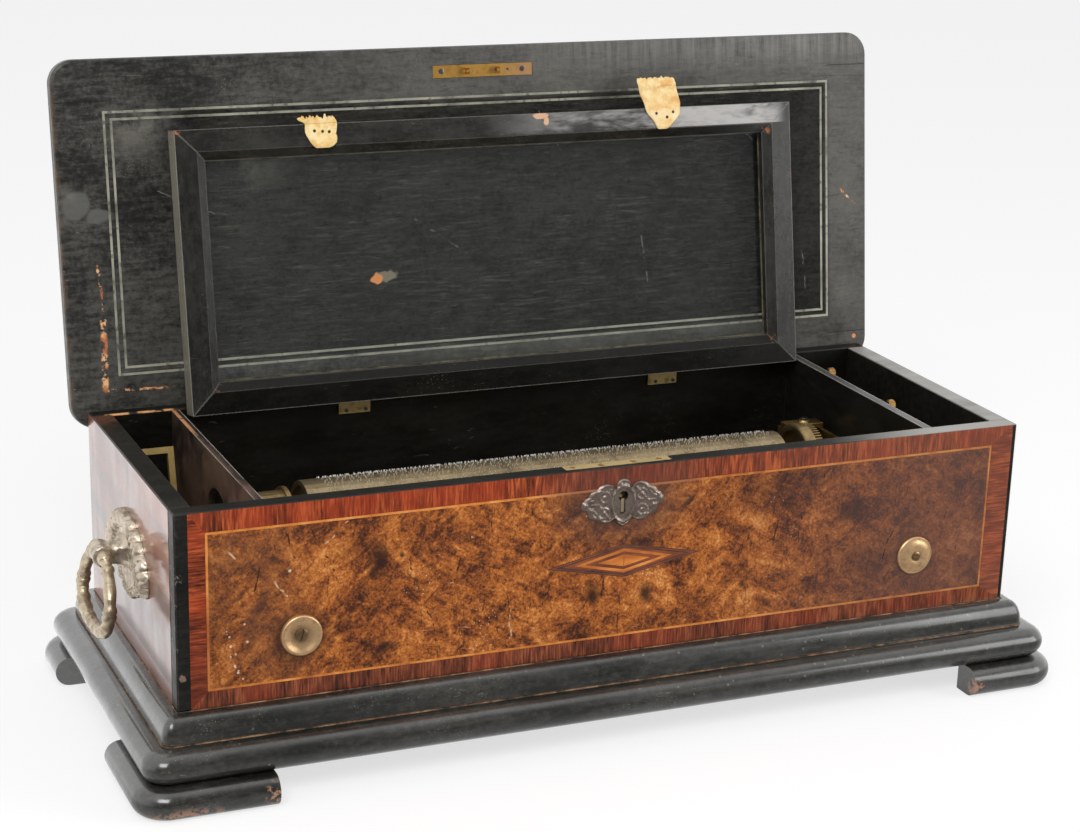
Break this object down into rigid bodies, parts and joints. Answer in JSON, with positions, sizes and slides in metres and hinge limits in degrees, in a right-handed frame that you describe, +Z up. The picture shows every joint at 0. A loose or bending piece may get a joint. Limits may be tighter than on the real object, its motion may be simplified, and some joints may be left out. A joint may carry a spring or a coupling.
{
  "type": "cylinder music box",
  "caption": "Lever-wound cylinder music box in a veneered case on a moulded plinth with bracket feet, its lid and glass inner lid standing open and a bail handle on each end.",
  "frame": {"origin": "centre of the open box's bounding box in X and Y, at the floor under its feet", "axes": "+X to the right along the length, +Y to the back, +Z up"},
  "size_m": [0.69, 0.3162, 0.4361],
  "materials": {
    "burl": "polished burl walnut veneer with kingwood and rosewood bands",
    "ebonised": "worn satin black ebonised wood",
    "rosewood": "polished rosewood veneer",
    "brass": "aged brass",
    "pale_brass": "pale cast brass",
    "pewter": "dark patinated bronze",
    "steel": "plain steel",
    "iron": "dull gilt brass bedplate",
    "glass": "clear window glass",
    "leather": "dry tan leather"
  },
  "bodies": {
    "case": {"case_front": "burl", "case_left_end": "rosewood", "case_right_end": "rosewood", "case_back": "ebonised", "case_bottom_board": "ebonised", "left_partition": "ebonised", "right_partition": "ebonised", "right_compartment_ledge": "ebonised", "plinth_upper_moulding": "ebonised", "plinth_lower_moulding": "ebonised", "foot_front_left": "ebonised", "foot_front_right": "ebonised", "foot_rear_left": "ebonised", "foot_rear_right": "ebonised", "lid_hinge_left_case_leaf": "brass", "lid_hinge_right_case_leaf": "brass", "lock_case": "brass", "bedplate_washer_left": "brass", "bedplate_washer_right": "brass", "glass_hinge_left_case_leaf": "brass", "glass_hinge_right_case_leaf": "brass", "comb_base": "brass", "cylinder_bridge_left": "brass", "cylinder_bridge_right": "brass", "winding_end_plate": "brass", "governor_frame": "brass", "governor_cock": "brass", "handle_left_backplate": "pale_brass", "handle_right_backplate": "pale_brass", "escutcheon": "pewter", "music_comb": "steel", "bedplate": "iron"},
    "lid": {"lid_panel": "ebonised", "lid_hinge_left_lid_leaf": "brass", "lid_hinge_right_lid_leaf": "brass", "lock_keep_plate": "brass"},
    "glass_lid": {"glass_frame_front_rail": "ebonised", "glass_frame_rear_rail": "ebonised", "glass_frame_left_stile": "ebonised", "glass_frame_right_stile": "ebonised", "glass_pane": "glass", "glass_hinge_left_frame_leaf": "brass", "glass_hinge_right_frame_leaf": "brass", "glass_lid_tab_left": "leather", "glass_lid_tab_right": "leather"},
    "left_bail": {"handle_left_bail": "pale_brass"},
    "right_bail": {"handle_right_bail": "pale_brass"},
    "lock_bolt": {"lock_bolt": "steel"},
    "cylinder_arbor": {"cylinder_great_wheel": "brass"},
    "cylinder": {"music_cylinder": "brass"},
    "barrel": {"spring_barrel": "brass"},
    "barrel_arbor": {"winding_wheel": "brass"},
    "winding_arbor": {"winding_pinion": "steel"},
    "winding_lever": {"winding_lever": "brass"},
    "click": {"ratchet_click": "steel"},
    "governor_first": {"governor_first_wheel": "brass"},
    "governor_second": {"governor_worm_wheel": "brass"},
    "governor_fly": {"governor_endless_screw": "steel"},
    "start_stop": {"start_stop_lever": "brass"},
    "change_repeat": {"change_repeat_lever": "brass"}
  },
  "joints": [
    {"name": "lid_hinge", "type": "hinge", "parent": "case", "child": "lid", "pos_m": [0, 0.11086, 0.19575], "axis": [1, 0, 0], "range_deg": [0, 98]},
    {"name": "glass_lid_hinge", "type": "hinge", "parent": "case", "child": "glass_lid", "pos_m": [0, 0.09286, 0.1916], "axis": [1, 0, 0], "range_deg": [0, 100.5]},
    {"name": "left_bail_pivot", "type": "hinge", "parent": "case", "child": "left_bail", "pos_m": [-0.33, -0.00814, 0.1326], "axis": [0, 1, 0], "range_deg": [0, 88]},
    {"name": "right_bail_pivot", "type": "hinge", "parent": "case", "child": "right_bail", "pos_m": [0.33, -0.00814, 0.1326], "axis": [0, -1, 0], "range_deg": [0, 88]},
    {"name": "cylinder_spin", "type": "hinge", "parent": "case", "child": "cylinder_arbor", "pos_m": [0, -0.02014, 0.1451], "axis": [1, 0, 0], "continuous": true},
    {"name": "cylinder_shift", "type": "slide", "parent": "cylinder_arbor", "child": "cylinder", "axis": [1, 0, 0], "range_m": [0, 0.0025]},
    {"name": "barrel_spin", "type": "hinge", "parent": "case", "child": "barrel", "pos_m": [0, -0.02014, 0.1451], "axis": [1, 0, 0], "continuous": true},
    {"name": "barrel_arbor_spin", "type": "hinge", "parent": "case", "child": "barrel_arbor", "pos_m": [0, -0.02014, 0.1451], "axis": [1, 0, 0], "continuous": true},
    {"name": "winding_arbor_spin", "type": "hinge", "parent": "case", "child": "winding_arbor", "pos_m": [0, 0.0185, 0.11598], "axis": [1, 0, 0], "continuous": true},
    {"name": "winding_lever_pull", "type": "hinge", "parent": "case", "child": "winding_lever", "pos_m": [0, 0.0185, 0.11598], "axis": [1, 0, 0], "range_deg": [0, 66]},
    {"name": "click_lift", "type": "hinge", "parent": "case", "child": "click", "pos_m": [0, 0.0345, 0.13048], "axis": [-1, 0, 0], "range_deg": [0, 20]},
    {"name": "governor_first_spin", "type": "hinge", "parent": "case", "child": "governor_first", "pos_m": [0, 0.00933, 0.12808], "axis": [1, 0, 0], "continuous": true},
    {"name": "governor_second_spin", "type": "hinge", "parent": "case", "child": "governor_second", "pos_m": [0, 0.01373, 0.14451], "axis": [1, 0, 0], "continuous": true},
    {"name": "governor_fly_spin", "type": "hinge", "parent": "case", "child": "governor_fly", "pos_m": [0.221, 0.02739, 0.0616], "axis": [0, 0, 1], "continuous": true},
    {"name": "start_stop_swing", "type": "hinge", "parent": "case", "child": "start_stop", "pos_m": [0.2475, -0.03814, 0.1336], "axis": [1, 0, 0], "range_deg": [-5, 5]},
    {"name": "change_repeat_swing", "type": "hinge", "parent": "case", "child": "change_repeat", "pos_m": [0.2475, 0.05186, 0.1336], "axis": [1, 0, 0], "range_deg": [-5, 5]},
    {"name": "lock_bolt_throw", "type": "slide", "parent": "case", "child": "lock_bolt", "axis": [1, 0, 0], "range_m": [0, 0.004]}
  ],
  "couplings": [
    {"joint": "glass_lid_hinge", "follows": "lid_hinge", "ratio": 1.0255},
    {"joint": "barrel_spin", "follows": "cylinder_spin", "ratio": 1},
    {"joint": "governor_first_spin", "follows": "cylinder_spin", "ratio": -7.2},
    {"joint": "governor_second_spin", "follows": "cylinder_spin", "ratio": 37.8},
    {"joint": "governor_fly_spin", "follows": "cylinder_spin", "ratio": 982.8},
    {"joint": "winding_arbor_spin", "follows": "barrel_arbor_spin", "ratio": -1.4118}
  ]
}
